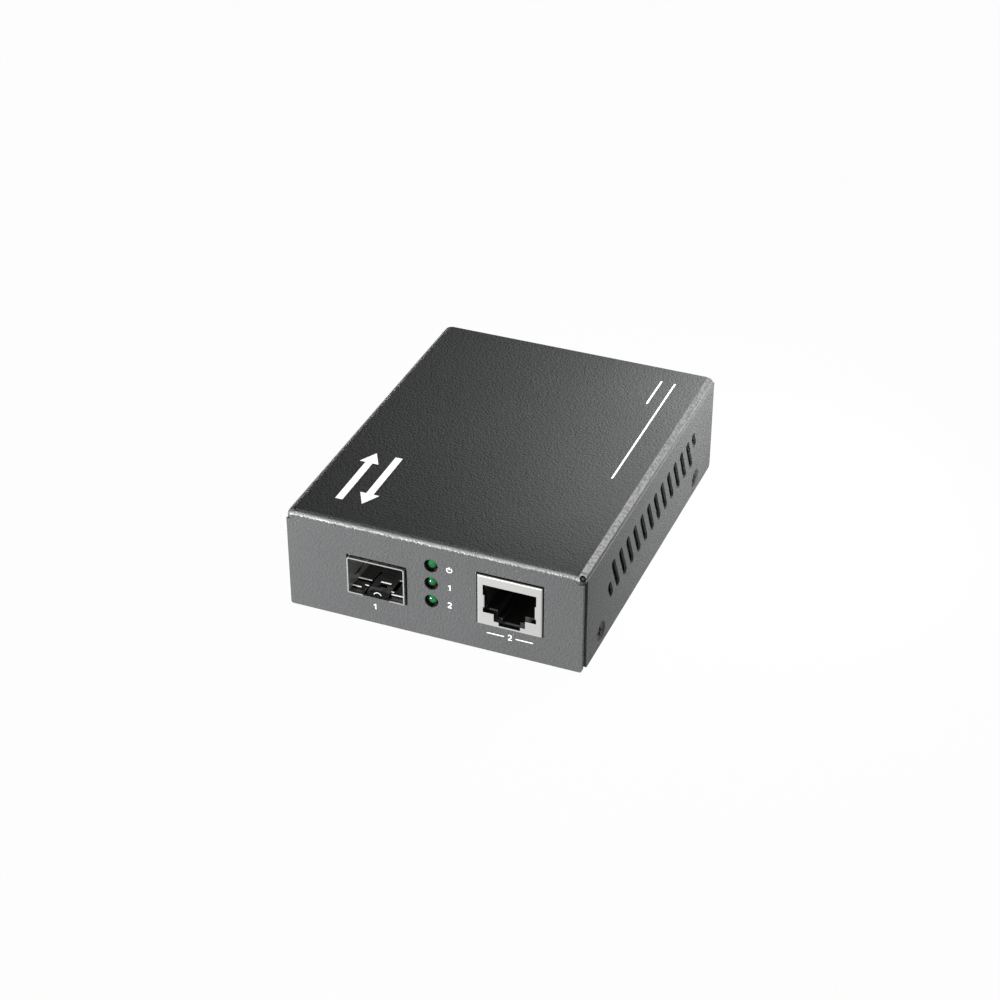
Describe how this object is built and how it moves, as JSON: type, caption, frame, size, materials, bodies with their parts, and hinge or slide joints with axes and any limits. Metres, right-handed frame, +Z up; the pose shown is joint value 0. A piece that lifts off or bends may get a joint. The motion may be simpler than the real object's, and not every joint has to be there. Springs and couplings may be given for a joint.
{
  "type": "fibre media converter",
  "caption": "Small closed steel box with a transceiver slot, status lights and a network jack at the front, slanted vents in both sides and a power inlet at the rear.",
  "frame": {"origin": "on the surface that the converter stands on, below the middle of the case", "axes": "+X to the right when looking at the front, +Y from the front with the ports to the rear, +Z up"},
  "size_m": [0.073, 0.0951, 0.027],
  "materials": {
    "powder_coat": "fine textured matt powder coat, dark grey",
    "screw_steel": "dark plated",
    "foot_rubber": "matt",
    "standoff_brass": "turned",
    "board_green": "solder mask",
    "cage_steel": "nickel plated",
    "tin_plate": "tin plated, satin",
    "black_plastic": "moulded",
    "contact_gold": "plated",
    "light_green": "clear green resin",
    "lead_tin": "tinned",
    "chip_black": "moulded",
    "can_metal": "drawn",
    "ceramic_tan": "ceramic"
  },
  "bodies": {
    "root": {"cover": "powder_coat", "base_plate": "powder_coat", "cover_screws": "screw_steel", "rubber_feet": "foot_rubber", "board_standoffs": "standoff_brass", "board_screws": "screw_steel", "circuit_board": "board_green", "transceiver_cage": "cage_steel", "transceiver_cage_floor": "cage_steel", "cage_spring_collar": "cage_steel", "transceiver_connector": "black_plastic", "transceiver_contacts": "contact_gold", "jack_shield": "tin_plate", "jack_housing": "black_plastic", "jack_contacts": "contact_gold", "power_light": "light_green", "fibre_light": "light_green", "copper_light": "light_green", "light_holder": "black_plastic", "light_leads": "lead_tin", "inlet_body": "black_plastic", "inlet_pin": "lead_tin", "inlet_terminals": "lead_tin", "network_transformer": "chip_black", "transformer_leads": "lead_tin", "converter_chip": "chip_black", "memory_chip": "chip_black", "regulator_chip": "chip_black", "chip_leads": "lead_tin", "crystal": "can_metal", "power_inductor": "chip_black", "capacitor_cans": "can_metal", "capacitor_bases": "black_plastic", "chip_capacitors": "ceramic_tan", "chip_resistors": "chip_black"}
  },
  "joints": []
}
